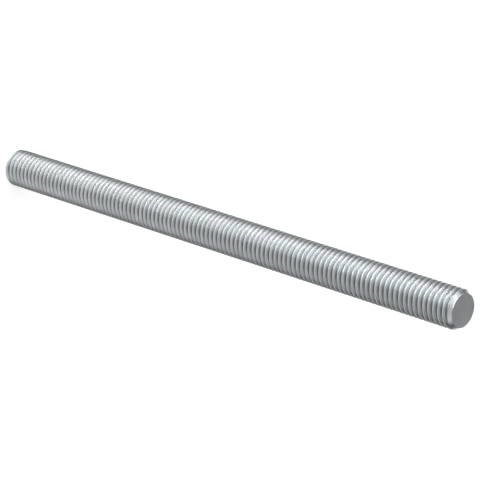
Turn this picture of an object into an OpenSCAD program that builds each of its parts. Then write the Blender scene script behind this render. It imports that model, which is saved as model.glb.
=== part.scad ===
// Threaded rod: a steel bar with one coarse metric thread along its whole length,
// cut to length and chamfered at both ends. It stands on one end, on the plane z = 0,
// with its axis on Z and the origin at the centre of that end.

/* [Rod] */
// Length from end face to end face
rod_length = 184; // [40:1:260]
// Width of the bevel that leads a nut onto each end, measured across the end
end_chamfer = 1; // [0.4:0.1:1.4]
// Slope of that bevel from the end face
chamfer_angle = 45; // [30:5:60]

/* [Thread] */
// Outside diameter, over the crests
thread_diameter = 12; // [8:0.5:20]
// Advance in one turn
thread_pitch = 1.75; // [1.25:0.05:2.5]
// Angle between the two flanks of a groove
flank_angle = 60; // [55:1:60]
// Where on the circle the groove comes out of the lower end
start_angle = 0; // [0:5:355]

/* [Hidden] */

// Basic profile of a metric thread, as shares of the pitch: the crest is a flat of an eighth,
// and the groove goes to 17/24 of the sharp triangle's height, which leaves a flat floor.
crest_share = 1 / 8;
depth_share = 17 / 24;

crest_radius = thread_diameter / 2;
sharp_height = thread_pitch / 2 / tan(flank_angle / 2);
groove_depth = depth_share * sharp_height;
root_radius = crest_radius - groove_depth;
crest_width = crest_share * thread_pitch;
flank_rise = groove_depth * tan(flank_angle / 2);

// Corners of the profile over one pitch: [distance along the axis, distance from it]
profile = [
    [0, crest_radius],
    [crest_width, crest_radius],
    [crest_width + flank_rise, root_radius],
    [thread_pitch - flank_rise, root_radius]
];
corners = len(profile);

// The helix starts below the lower end and runs past the upper one, and the ends cut it off.
spare_turns = 2;
turns = ceil(rod_length / thread_pitch) + spare_turns;
helix_bottom = -thread_pitch * 3 / 2;
rows = corners * turns;

// Sides of each turn: an even number, so that the rod is as wide one way as the other,
// and as many as give the whole thread about 12 000 small faces.
most_faces = 12900;
most_sides = 36;
sides = min(most_sides, 2 * floor(most_faces / (2 * rows) / 2));

// Point of the thread's surface: sides count round the axis, rows count along it
function thread_point(side, row) =
    let (
        turned = side / sides,
        corner = profile[row % corners],
        height = helix_bottom + thread_pitch * (floor(row / corners) + turned) + corner[0],
        angle = start_angle + 360 * turned
    )
    [corner[1] * cos(angle), corner[1] * sin(angle), height];

// Place of a point in the list of points, and of its neighbour on the next side.
// The side after the last is the first one again, a whole turn further up.
points_per_side = rows + corners + 1;
function spot(side, row) = side * points_per_side + row;
function next_spot(side, row) =
    side == sides - 1 ? spot(0, row + corners) : spot(side + 1, row);

// Thread without end: crests, flanks and floor follow the helix as one closed surface.
module helical_thread() {
    surface_points = [
        for (side = [0:sides - 1], row = [0:points_per_side - 1]) thread_point(side, row)
    ];
    lower_centre = len(surface_points);
    upper_centre = lower_centre + 1;
    walls = [
        for (side = [0:sides - 1], row = [0:rows - 1]) each [
            [spot(side, row), spot(side, row + 1), next_spot(side, row + 1)],
            [spot(side, row), next_spot(side, row + 1), next_spot(side, row)]
        ]
    ];
    end_fans = [
        for (side = [0:sides - 1]) each [
            [lower_centre, spot(side, 0), next_spot(side, 0)],
            [upper_centre, next_spot(side, rows), spot(side, rows)]
        ]
    ];
    // The helix leaves a step of one pitch where it starts and where it stops.
    end_steps = [
        [lower_centre, for (row = [corners:-1:0]) spot(0, row)],
        [upper_centre, for (row = [0:corners]) spot(0, rows + row)]
    ];
    polyhedron(
        points = [
            each surface_points,
            [0, 0, helix_bottom],
            [0, 0, helix_bottom + thread_pitch * (turns + 1)]
        ],
        faces = [each walls, each end_fans, each end_steps]
    );
}

// What the saw and the chamfering tool leave: two end faces and two bevels, clear of the crests.
module cut_ends() {
    face_radius = crest_radius - end_chamfer;
    outside_radius = crest_radius + thread_pitch;
    bevel_height = (outside_radius - face_radius) * tan(chamfer_angle);
    rotate_extrude($fn = 96)
        polygon([
            [0, 0],
            [face_radius, 0],
            [outside_radius, bevel_height],
            [outside_radius, rod_length - bevel_height],
            [face_radius, rod_length],
            [0, rod_length]
        ]);
}

module threaded_rod() {
    color("silver")
        intersection() {
            helical_thread();
            cut_ends();
        }
}

threaded_rod();
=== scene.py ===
# %% [markdown]
# # A zinc-plated threaded rod
#
# This is studding: a steel bar with one coarse metric thread along its whole length,
# cut square and bevelled at both ends. It stands on one end, with its axis on Z.
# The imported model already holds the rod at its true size, with the thread made of
# flats. This notebook makes the same helix round and fine, gives it its plating, and
# sets up the camera, the floor and the lights. The rod is a single bar, so the whole
# object is one piece and there is nothing to assemble.

# %% Load the frame
import math
import bpy
from mathutils import Matrix, Vector


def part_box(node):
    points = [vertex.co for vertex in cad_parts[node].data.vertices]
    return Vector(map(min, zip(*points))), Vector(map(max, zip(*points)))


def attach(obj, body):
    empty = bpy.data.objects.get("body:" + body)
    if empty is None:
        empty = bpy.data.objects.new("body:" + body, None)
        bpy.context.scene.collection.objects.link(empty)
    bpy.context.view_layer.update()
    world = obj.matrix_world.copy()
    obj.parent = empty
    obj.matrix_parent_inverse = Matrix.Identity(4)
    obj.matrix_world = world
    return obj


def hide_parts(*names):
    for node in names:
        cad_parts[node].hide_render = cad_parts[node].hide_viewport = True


MM = 0.001

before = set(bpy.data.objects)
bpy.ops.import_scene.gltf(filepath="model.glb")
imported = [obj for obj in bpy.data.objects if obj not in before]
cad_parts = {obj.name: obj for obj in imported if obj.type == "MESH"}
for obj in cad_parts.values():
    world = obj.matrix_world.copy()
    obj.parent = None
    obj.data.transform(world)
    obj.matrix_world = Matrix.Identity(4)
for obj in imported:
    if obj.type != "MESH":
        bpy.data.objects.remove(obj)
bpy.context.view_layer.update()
rod_low, rod_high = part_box("threaded_rod")
rod_length = rod_high.z - rod_low.z
rod_middle = Vector((0, 0, rod_low.z + rod_length / 2))
crest_radius = (rod_high.x - rod_low.x) / 2
print("packed model holds", list(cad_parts))
print("rod", round(rod_length / MM, 2), "mm long,", round(crest_radius * 2 / MM, 2), "mm across")

# %% [markdown]
# ## Outline of one pitch
#
# A metric thread is fixed by its outside diameter and its pitch. Its flanks lie 60
# degrees apart, and each ridge ends in a narrow flat, the crest. The outline of one
# pitch could be a drawn curve. Here it is made as by hand: a plane is merged to one
# point, which moves out to the crest and is extruded four times, along half a crest,
# in down one flank, out up the next, and along the other half of the crest.

# %% Sizes of the thread
# The standard's crest is an eighth of a pitch wide, and rolling leaves it a little wider.
THREAD_PITCH = 1.75 * MM
FLANK_ANGLE = math.radians(60)
CREST_FLAT = THREAD_PITCH / 7

half_crest = CREST_FLAT / 2
half_groove = (THREAD_PITCH - CREST_FLAT) / 2
sharp_depth = half_groove / math.tan(FLANK_ANGLE / 2)
print("flanks would meet", round(sharp_depth / MM, 3), "mm below the crest")

# %% Extrude the outline
# Starting one and a half pitches below the lower end gives whole turns across both
# ends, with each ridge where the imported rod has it.
PITCHES_BELOW = 1.5


def start_fresh():
    """Leaves edit mode and deselects everything, so that an operator acts on new work only."""
    if bpy.context.object and bpy.context.object.mode != "OBJECT":
        bpy.ops.object.mode_set(mode="OBJECT")
    bpy.ops.object.select_all(action="DESELECT")


start_fresh()
bpy.ops.mesh.primitive_plane_add(size=MM, location=(0, 0, 0))
thread = bpy.context.object
thread.name = "rod_with_rolled_thread"
bpy.ops.object.mode_set(mode="EDIT")
bpy.ops.mesh.merge(type="CENTER")
first_height = rod_low.z + half_crest - PITCHES_BELOW * THREAD_PITCH
bpy.ops.transform.translate(value=(crest_radius, 0, first_height))
for step in (
    (0, 0, half_crest),
    (-sharp_depth, 0, half_groove),
    (sharp_depth, 0, half_groove),
    (0, 0, half_crest),
):
    bpy.ops.mesh.extrude_region_move(TRANSFORM_OT_translate={"value": step})
bpy.ops.object.mode_set(mode="OBJECT")
print("outline of", len(thread.data.vertices), "points")

# %% [markdown]
# ## Rounded root and crest edges
#
# Rolling dies press steel aside, so nothing on a rolled thread is sharp: the root is
# an arc of about a sixth of the full triangle's height, and the crest has soft edges.
# A bevel on the finished helix would need a face loop for every arc. Rounding the
# outline's four corners now, with a vertex bevel, carries them round every turn.

# %% Round the root and the crest's edges
TRIANGLE_TO_ROOT = 6
ROOT_STEPS = 4
ROOT_ROUNDNESS = 0.45
CREST_EDGE_RADIUS = 0.15 * MM
CREST_EDGE_STEPS = 3
TOUCHING = 0.002 * MM


def near(a, b):
    """Whether two heights or distances are the same, but for rounding."""
    return abs(a - b) < TOUCHING


def keep_only(test):
    """Selects in edit mode just the vertices whose place passes the test."""
    bpy.ops.object.mode_set(mode="OBJECT")
    mesh = bpy.context.object.data
    for part in (mesh.polygons, mesh.edges):
        part.foreach_set("select", [False] * len(part))
    for vertex in mesh.vertices:
        vertex.select = bool(test(vertex.co))
    bpy.ops.object.mode_set(mode="EDIT")


triangle_height = THREAD_PITCH / 2 / math.tan(FLANK_ANGLE / 2)
root_offset = triangle_height / TRIANGLE_TO_ROOT / math.tan(FLANK_ANGLE / 2)
keep_only(lambda co: near(co.x, crest_radius - sharp_depth))
bpy.ops.mesh.bevel(
    offset_type="WIDTH",
    offset=root_offset,
    segments=ROOT_STEPS,
    profile=ROOT_ROUNDNESS,
    affect="VERTICES",
)
crest_offset = CREST_EDGE_RADIUS * math.tan(FLANK_ANGLE / 2)
crest_corners = (first_height + half_crest, first_height + THREAD_PITCH - half_crest)
keep_only(lambda co: any(near(co.z, height) for height in crest_corners))
bpy.ops.mesh.bevel(
    offset_type="WIDTH", offset=crest_offset, segments=CREST_EDGE_STEPS, affect="VERTICES"
)
bpy.ops.object.mode_set(mode="OBJECT")
root_radius = min(vertex.co.x for vertex in thread.data.vertices)
print(len(thread.data.vertices), "points, root", round((crest_radius - root_radius) / MM, 3), "mm deep")

# %% [markdown]
# ## Wind the outline into a thread
#
# A modelled groove could be cut by a swept shape, or a single ridge wrapped on a core.
# The Screw modifier does both at once: it turns the outline round the axis and lifts
# it one pitch a turn, right-handed, as the rolling dies do. Each turn starts where
# the last one ended, so doubled points are merged. The two open ends are closed
# beyond the rod's real ends, where the next step cuts them away.

# %% Wind the thread
STEPS_PER_TURN = 54
SPARE_TURNS = 2


def apply_modifier(kind, **settings):
    """Gives the active piece a modifier with these settings and applies it."""
    piece = bpy.context.object
    modifier = piece.modifiers.new(kind.title(), kind)
    for name, value in settings.items():
        setattr(modifier, name, value)
    bpy.ops.object.modifier_apply(modifier=modifier.name)


turns = math.ceil(rod_length / THREAD_PITCH) + SPARE_TURNS
apply_modifier(
    "SCREW",
    axis="Z",
    angle=math.radians(360),
    screw_offset=THREAD_PITCH,
    iterations=turns,
    steps=STEPS_PER_TURN,
    render_steps=STEPS_PER_TURN,
    use_merge_vertices=False,
)
bpy.ops.object.mode_set(mode="EDIT")
bpy.ops.mesh.select_all(action="SELECT")
bpy.ops.mesh.remove_doubles(threshold=TOUCHING)
bpy.ops.object.mode_set(mode="OBJECT")
print(turns, "turns,", len(thread.data.vertices), "vertices")

# %% Close the two open ends
# Each cap is one large face with many sides, so it is poked into a fan of triangles.
bpy.ops.object.mode_set(mode="EDIT")
bpy.ops.mesh.select_all(action="DESELECT")
bpy.ops.mesh.select_non_manifold(extend=False)
bpy.ops.mesh.edge_face_add()
bpy.ops.mesh.poke()
bpy.ops.mesh.select_all(action="SELECT")
bpy.ops.mesh.quads_convert_to_tris(quad_method="BEAUTY", ngon_method="BEAUTY")
bpy.ops.mesh.normals_make_consistent(inside=False)
bpy.ops.object.mode_set(mode="OBJECT")
print("closed thread", len(thread.data.polygons), "triangles")

# %% [markdown]
# ## Cut it to length and bevel the ends
#
# On the real rod a saw cuts the thread off square, and a chamfering tool turns a
# bevel of 45 degrees that leads a nut on. Bisecting the helix would give the square
# cut but not the bevel. Here a round bar of the rod's length with bevelled rims is
# modelled, and only what the thread shares with it is kept, so the groove runs out
# through the bevel as it does in steel. The rim between bevel and face is broken a
# little, because a tool's edge never leaves a perfect corner.

# %% Turned bar that the ends are cut to
BEVEL_WIDTH = 1.0 * MM
BAR_CLEARANCE = 2 * MM
BAR_SIDES = 120
EDGE_BREAK = 0.05 * MM
BEVEL_FACETS = 1
BREAK_FACETS = 2

start_fresh()
face_radius = crest_radius - BEVEL_WIDTH
bar_radius = crest_radius + BAR_CLEARANCE
bpy.ops.mesh.primitive_cylinder_add(
    vertices=BAR_SIDES, radius=bar_radius, depth=rod_length, location=rod_middle
)
bar = bpy.context.object
bpy.ops.object.transform_apply(location=True, rotation=True, scale=True)
for end_height in (rod_low.z, rod_high.z):
    for rim_radius, width, facets in (
        (bar_radius, bar_radius - face_radius, BEVEL_FACETS),
        (face_radius, EDGE_BREAK, BREAK_FACETS),
    ):
        keep_only(lambda co: near(co.z, end_height) and near(math.hypot(co.x, co.y), rim_radius))
        bpy.ops.mesh.bevel(offset_type="OFFSET", offset=width, segments=facets, affect="EDGES")
bpy.ops.object.mode_set(mode="OBJECT")
print("bar", len(bar.data.vertices), "vertices, end faces", round(face_radius * 2 / MM, 2), "mm across")

# %% Keep what the thread and the bar share
start_fresh()
bpy.context.view_layer.objects.active = thread
thread.select_set(True)
apply_modifier("BOOLEAN", object=bar, operation="INTERSECT", solver="MANIFOLD")
bpy.data.objects.remove(bar, do_unlink=True)
bpy.ops.object.mode_set(mode="EDIT")
bpy.ops.mesh.select_all(action="SELECT")
bpy.ops.mesh.remove_doubles(threshold=TOUCHING)
bpy.ops.mesh.select_all(action="DESELECT")
bpy.ops.mesh.select_non_manifold(extend=False)
bpy.ops.object.mode_set(mode="OBJECT")
open_points = sum(vertex.select for vertex in thread.data.vertices)
triangles = sum(len(face.vertices) - 2 for face in thread.data.polygons)
print("cut rod", triangles, "triangles,", open_points, "points on open edges")

# %% [markdown]
# ## Smooth the facets
#
# Every turn is still a ring of narrow flats. More of them would look rounder but make
# the mesh heavy. Smooth shading blends the light from one flat to the next instead, and
# edges sharper than a set angle stay crisp, such as the outer rim of each bevel. Weighted
# normals let the large faces decide, so the end faces look flat right up to their rims.

# %% Smooth shading with crisp rims
SMOOTH_BELOW = math.radians(40)

bpy.ops.object.shade_smooth_by_angle(angle=SMOOTH_BELOW)
apply_modifier("WEIGHTED_NORMAL", keep_sharp=True)
print("shaded smooth below", round(math.degrees(SMOOTH_BELOW)), "degrees")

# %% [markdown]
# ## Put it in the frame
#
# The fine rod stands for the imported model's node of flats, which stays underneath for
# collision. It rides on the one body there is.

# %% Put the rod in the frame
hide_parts("threaded_rod")
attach(thread, "root")
print(thread.name, "rides on root")

# %% [markdown]
# ## Bright zinc plating
#
# Zinc is plated a few microns thick over the rolled thread, so the whole surface is
# metal: light grey with a cool cast, and softly shiny where a polished bar would be a
# mirror. It took evenly but not perfectly, so faint patches a few millimetres wide are
# duller. Deep in the groove the colour is painted darker and greyer, as painted shade.
# The rolling dies leave fine lines that run along the thread, and the saw and the
# chamfering tool leave rings on the ends. Images could hold all this, but nodes that
# start from the distance to the axis and the height need no unwrapping.

# %% Helpers for materials
def hex_colour(text):
    """Linear colour of an sRGB hex value."""
    parts = [int(text[i : i + 2], 16) / 255 for i in (1, 3, 5)]
    return tuple(p / 12.92 if p <= 0.04045 else ((p + 0.055) / 1.055) ** 2.4 for p in parts) + (1.0,)


def new_material(name):
    """An empty material that its nodes are then added to."""
    material = bpy.data.materials.new(name)
    material.use_nodes = True
    material.node_tree.nodes.clear()
    return material


def add_node(material, kind, settings=None, inputs=None):
    """Adds a node: settings are its properties, inputs are values, sockets, or nodes to link from."""
    node = material.node_tree.nodes.new(kind)
    for name, value in (settings or {}).items():
        setattr(node, name, value)
    for name, value in (inputs or {}).items():
        if isinstance(value, bpy.types.Node):
            value = value.outputs[0]
        if isinstance(value, bpy.types.NodeSocket):
            material.node_tree.links.new(value, node.inputs[name])
        else:
            node.inputs[name].default_value = value
    return node


MID_GREY_HEX = "#808080"
print("mid grey", MID_GREY_HEX, "is", round(hex_colour(MID_GREY_HEX)[0], 3), "in linear light")

# %% Distance from the axis and depth in the groove
# The depth is measured from the bar that the ends are cut to, so it is nothing on the
# crests and on the bevel, and grows towards the root everywhere else.
zinc = new_material("bright_zinc_plate_on_steel")
place = add_node(zinc, "ShaderNodeTexCoord").outputs["Object"]
axes = add_node(zinc, "ShaderNodeSeparateXYZ", inputs={"Vector": place}).outputs
x_squared = add_node(zinc, "ShaderNodeMath", {"operation": "POWER"}, {0: axes["X"], 1: 2})
y_squared = add_node(zinc, "ShaderNodeMath", {"operation": "POWER"}, {0: axes["Y"], 1: 2})
both_squares = add_node(zinc, "ShaderNodeMath", {"operation": "ADD"}, {0: x_squared, 1: y_squared})
distance = add_node(zinc, "ShaderNodeMath", {"operation": "SQRT"}, {0: both_squares})
above_middle = add_node(zinc, "ShaderNodeMath", {"operation": "SUBTRACT"}, {0: axes["Z"], 1: rod_middle.z})
from_middle = add_node(zinc, "ShaderNodeMath", {"operation": "ABSOLUTE"}, {0: above_middle})
to_end = add_node(zinc, "ShaderNodeMath", {"operation": "SUBTRACT"}, {0: rod_length / 2, 1: from_middle})
on_bevel = add_node(zinc, "ShaderNodeMath", {"operation": "ADD"}, {0: face_radius, 1: to_end})
envelope = add_node(zinc, "ShaderNodeMath", {"operation": "MINIMUM"}, {0: crest_radius, 1: on_bevel})
depth = add_node(zinc, "ShaderNodeMath", {"operation": "SUBTRACT"}, {0: envelope, 1: distance})
print("depth runs from 0 to", round((crest_radius - root_radius) / MM, 3), "mm")

# %% Fine lines and patches
# Lines from the dies and the saw lie about 0.03 mm apart. They are drawn four times as
# coarse, because finer ones would not show.
LINE_SPACING = 0.12 * MM
LINE_HEIGHT = 0.002 * MM
LINE_STRENGTH = 0.3
LINE_DETAIL = 2
PATCH_SIZE = 4 * MM
PATCH_DETAIL = 3

ring_inputs = {"X": distance, "Y": axes["Z"], "Z": 0.0}
ring_place = add_node(zinc, "ShaderNodeCombineXYZ", inputs=ring_inputs)
line_inputs = {"Vector": ring_place, "Scale": 1 / LINE_SPACING, "Detail": LINE_DETAIL}
lines = add_node(zinc, "ShaderNodeTexNoise", inputs=line_inputs)
bump_inputs = {"Height": lines, "Strength": LINE_STRENGTH, "Distance": LINE_HEIGHT}
line_normal = add_node(zinc, "ShaderNodeBump", inputs=bump_inputs)
patch_inputs = {"Vector": place, "Scale": 1 / PATCH_SIZE, "Detail": PATCH_DETAIL}
patches = add_node(zinc, "ShaderNodeTexNoise", inputs=patch_inputs)
print(round(rod_length / LINE_SPACING), "lines drawn along the rod")

# %% Bright and dull plating
# The noise seldom leaves its middle range, which is stretched to run from bright to
# dull. A Mix node set to colours takes them in its sockets 6 and 7, and its blend
# comes out of socket 2.
BRIGHT_HEX = "#B4B7B8"
DULL_HEX = "#ACAFB0"
PATCHES_BRIGHT = 0.3
PATCHES_DULL = 0.7
SOFT_STEP = {"interpolation_type": "SMOOTHSTEP"}
COLOUR_MIX = {"data_type": "RGBA"}

dull_inputs = {"Value": patches, "From Min": PATCHES_BRIGHT, "From Max": PATCHES_DULL}
dullness = add_node(zinc, "ShaderNodeMapRange", SOFT_STEP, dull_inputs)
plating_inputs = {0: dullness, 6: hex_colour(BRIGHT_HEX), 7: hex_colour(DULL_HEX)}
plating = add_node(zinc, "ShaderNodeMix", COLOUR_MIX, plating_inputs).outputs[2]
print("plating runs from", BRIGHT_HEX, "to", DULL_HEX)

# %% Painted shade in the groove
# The painted shade sets in between two depths below the crest. The end faces are as
# bright as the crests, so it also fades in over a thin skin under each of them.
GROOVE_SHADE_HEX = "#8F9395"
SHADE_STARTS = 0.35 * MM
SHADE_FULL = 0.85 * MM
SKIN_STARTS = 0.01 * MM
SKIN_ENDS = 0.06 * MM

shade_inputs = {"Value": depth, "From Min": SHADE_STARTS, "From Max": SHADE_FULL}
painted_groove_shade = add_node(zinc, "ShaderNodeMapRange", SOFT_STEP, shade_inputs)
skin_inputs = {"Value": to_end, "From Min": SKIN_STARTS, "From Max": SKIN_ENDS}
off_face = add_node(zinc, "ShaderNodeMapRange", SOFT_STEP, skin_inputs)
painted_shade_share = add_node(zinc, "ShaderNodeMath", {"operation": "MULTIPLY"}, {0: off_face, 1: painted_groove_shade})
# The plating colour is mixed towards a darker grey deep in the groove: painted shade.
colour_inputs = {0: painted_shade_share, 6: plating, 7: hex_colour(GROOVE_SHADE_HEX)}
colour = add_node(zinc, "ShaderNodeMix", COLOUR_MIX, colour_inputs).outputs[2]
print("groove is", GROOVE_SHADE_HEX, "from", round(SHADE_FULL / MM, 2), "mm deep")

# %% Gloss of the plating
# A metal keeps the default index of refraction, because its base colour already says
# how it reflects.
ROUGHNESS = 0.32
ROUGHNESS_SPREAD = 0.05

smoothest = ROUGHNESS - ROUGHNESS_SPREAD
roughest = ROUGHNESS + ROUGHNESS_SPREAD
gloss_inputs = {"Value": patches, "To Min": smoothest, "To Max": roughest}
gloss = add_node(zinc, "ShaderNodeMapRange", SOFT_STEP, gloss_inputs)
metal_inputs = {"Base Color": colour, "Metallic": 1.0, "Roughness": gloss, "Normal": line_normal}
shader = add_node(zinc, "ShaderNodeBsdfPrincipled", inputs=metal_inputs)
add_node(zinc, "ShaderNodeOutputMaterial", inputs={"Surface": shader})
thread.data.materials.clear()
thread.data.materials.append(zinc)
print("roughness", round(smoothest, 2), "to", round(roughest, 2))

# %% [markdown]
# ## Camera
#
# The camera looks down on the standing rod from 40 degrees above the floor, through
# a long lens, so the far end looks only a little thinner than the near one. It is rolled
# on its side, so the rod runs across the picture with its upper end towards the viewer.

# %% Camera
# The sensor and the lens are in millimetres, as Blender takes them, and the sight limit
# is in metres.
CAMERA_TURN = math.radians(102)
CAMERA_HEIGHT = math.radians(39.97)
CAMERA_ROLL = math.radians(107.91)
CAMERA_DISTANCE = 728.2 * MM
AIM_ASIDE = 0.35 * MM
AIM_ABOVE_MIDDLE = 7.42 * MM
SENSOR_WIDTH = 36
LENS_LENGTH = 182.6
SIGHT_LIMIT = 20

turn = Matrix.Rotation(CAMERA_TURN, 3, "Z")
back = turn @ Vector((0, -math.cos(CAMERA_HEIGHT), math.sin(CAMERA_HEIGHT)))
aim = turn @ (rod_middle + Vector((AIM_ASIDE, 0, AIM_ABOVE_MIDDLE)))
stand = aim + back * CAMERA_DISTANCE
camera_data = bpy.data.cameras.new("camera")
camera_data.sensor_width = SENSOR_WIDTH
camera_data.lens = LENS_LENGTH
camera_data.clip_end = SIGHT_LIMIT
camera = bpy.data.objects.new("camera", camera_data)
scene = bpy.context.scene
scene.collection.objects.link(camera)
upright = back.to_track_quat("Z", "Y").to_matrix()
rolled = upright @ Matrix.Rotation(CAMERA_ROLL, 3, "Z")
camera.matrix_world = Matrix.Translation(stand) @ rolled.to_4x4()
scene.camera = camera
print("camera at", [round(c, 3) for c in stand], "m")

# %% [markdown]
# ## Floor and backdrop
#
# A studio sweep is one sheet of white paper that lies flat under the object and curves
# up behind it, so no horizon shows. Here it is a round sheet whose rim is extruded up
# all round and its bottom corner bevelled into a curve, because the rod is looked at
# from every side. Paper is matt, with no highlight of its own, so the eye reads one even
# white. It glows white to the camera and in reflections, and a grey matt layer under the
# glow takes the lamps, so the rod's shadow still shows. The lamps light only its middle,
# so the glow is less there and rises to full white outside.

# %% Floor
FLOOR_RADIUS = 4.0
FLOOR_SIDES = 96
SWEEP_HEIGHT = 0.9
SWEEP_CURVE = 0.6
SWEEP_STEPS = 8

start_fresh()
bpy.ops.mesh.primitive_circle_add(
    vertices=FLOOR_SIDES, radius=FLOOR_RADIUS, fill_type="NGON", location=(0, 0, rod_low.z)
)
floor = bpy.context.object
floor.name = "floor"
bpy.ops.object.transform_apply(location=True, rotation=True, scale=True)
keep_only(lambda co: co.length > FLOOR_RADIUS / 2)
bpy.ops.mesh.select_mode(type="EDGE")
bpy.ops.mesh.extrude_edges_move(TRANSFORM_OT_translate={"value": (0, 0, SWEEP_HEIGHT)})
bpy.ops.mesh.select_mode(type="VERT")
keep_only(lambda co: near(co.z, rod_low.z))
bpy.ops.mesh.bevel(offset_type="OFFSET", offset=SWEEP_CURVE, segments=SWEEP_STEPS, affect="EDGES")
bpy.ops.object.mode_set(mode="OBJECT")
bpy.ops.object.shade_smooth_by_angle(angle=SMOOTH_BELOW)
print("floor", len(floor.data.polygons), "faces,", round(floor.dimensions.z, 2), "m high")

# %% White paper
PAPER_HEX = "#BCBCBC"
MIDDLE_GLOW = 0.68
RIM_GLOW = 1.0
LAMPLIT_RADIUS = 0.35
GLOW_RADIUS = 1.0

paper = new_material("white_paper_sweep")
on_sheet = add_node(paper, "ShaderNodeTexCoord").outputs["Object"]
place_length = add_node(paper, "ShaderNodeVectorMath", {"operation": "LENGTH"}, {0: on_sheet})
level_inputs = {
    "Value": place_length.outputs["Value"],
    "From Min": LAMPLIT_RADIUS,
    "From Max": GLOW_RADIUS,
    "To Min": MIDDLE_GLOW,
    "To Max": RIM_GLOW,
}
glow_level = add_node(paper, "ShaderNodeMapRange", SOFT_STEP, level_inputs)
seen = add_node(paper, "ShaderNodeLightPath").outputs
eye_or_mirror = {0: seen["Is Camera Ray"], 1: seen["Is Glossy Ray"]}
by_eye_or_mirror = add_node(paper, "ShaderNodeMath", {"operation": "MAXIMUM"}, eye_or_mirror)
or_through_glass = {0: by_eye_or_mirror, 1: seen["Is Transmission Ray"]}
direct = add_node(paper, "ShaderNodeMath", {"operation": "MAXIMUM"}, or_through_glass)
strength = add_node(paper, "ShaderNodeMath", {"operation": "MULTIPLY"}, {0: direct, 1: glow_level})
glow = add_node(paper, "ShaderNodeEmission", inputs={"Strength": strength})
matt = add_node(paper, "ShaderNodeBsdfDiffuse", inputs={"Color": hex_colour(PAPER_HEX)})
both = add_node(paper, "ShaderNodeAddShader", inputs={0: glow, 1: matt})
add_node(paper, "ShaderNodeOutputMaterial", inputs={"Surface": both})
floor.data.materials.append(paper)
print("paper glows", MIDDLE_GLOW, "in the middle and", RIM_GLOW, "outside")

# %% [markdown]
# ## Lights
#
# Metal shows its surroundings more than its own colour, so a bright rod is lit by
# large soft boxes and not by small lamps: each one becomes a band of light along the
# rod. Two low strips make the broad bright band and a third draws a line of light along
# the back. Boxes above them spread the band over the upper flanks and the bevels, and
# weaker ones keep the right side and the back readable. The strips stand no higher than
# the rod, so its end face never mirrors them. The sky between the lamps is a dim even
# grey. Directions are given as the rod sees them, turned with the camera, and brightness
# is per area, so a larger box gives a wider highlight and not a whiter one.

# %% Sky
SKY_STRENGTH = 0.08

scene.view_settings.view_transform = "Standard"
world = bpy.data.worlds.new("studio")
scene.world = world
world.use_nodes = True
sky = world.node_tree.nodes["Background"].inputs
sky["Color"].default_value = (1, 1, 1, 1)
sky["Strength"].default_value = SKY_STRENGTH
print("sky", SKY_STRENGTH)

# %% Soft boxes
LAMP_DISTANCE = 1.2
STRIP_HALF_HEIGHT = 4.2


def softbox(name, azimuth, elevation, half_width, half_height, radiance):
    """An even oval lamp that faces the rod's middle: direction and half sizes are in degrees."""
    lamp_data = bpy.data.lights.new(name, "AREA")
    lamp_data.shape = "ELLIPSE"
    lamp_data.size = 2 * LAMP_DISTANCE * math.tan(math.radians(half_width))
    lamp_data.size_y = 2 * LAMP_DISTANCE * math.tan(math.radians(half_height))
    oval_area = math.pi * lamp_data.size * lamp_data.size_y / 4
    lamp_data.energy = radiance * math.pi * oval_area
    lamp = bpy.data.objects.new(name, lamp_data)
    scene.collection.objects.link(lamp)
    round_about = math.radians(azimuth)
    up = math.radians(elevation)
    level = math.cos(up)
    toward = turn @ Vector((math.sin(round_about) * level, -math.cos(round_about) * level, math.sin(up)))
    facing = toward.to_track_quat("Z", "Y").to_matrix().to_4x4()
    lamp.matrix_world = Matrix.Translation(rod_middle + toward * LAMP_DISTANCE) @ facing
    sizes = (round(lamp_data.size, 2), round(lamp_data.size_y, 2))
    print(name, sizes, "m,", round(lamp_data.energy, 1), "W")


# Low strips: the bright band, and a line of light along the back.
softbox("left_strip", 300, 0, 28, STRIP_HALF_HEIGHT, 19.0)
softbox("right_strip", 338, 0, 22, STRIP_HALF_HEIGHT, 17.0)
softbox("back_strip", 180, 0, 34, STRIP_HALF_HEIGHT, 6.0)
# Boxes on the bright side: upper flanks and bevel.
softbox("front_box", 325, 40, 32, 14, 3.15)
softbox("left_box", 262, 47, 18, 14, 2.1)
softbox("high_left_box", 270, 68, 18, 14, 1.85)
# Weak fill: the right side, the end face and the back.
softbox("top_box", 20, 72, 34, 12, 1.12)
softbox("right_box", 50, 46, 34, 14, 0.46)
softbox("far_right_box", 90, 45, 18, 14, 0.84)
softbox("back_box", 180, 42, 40, 16, 0.48)
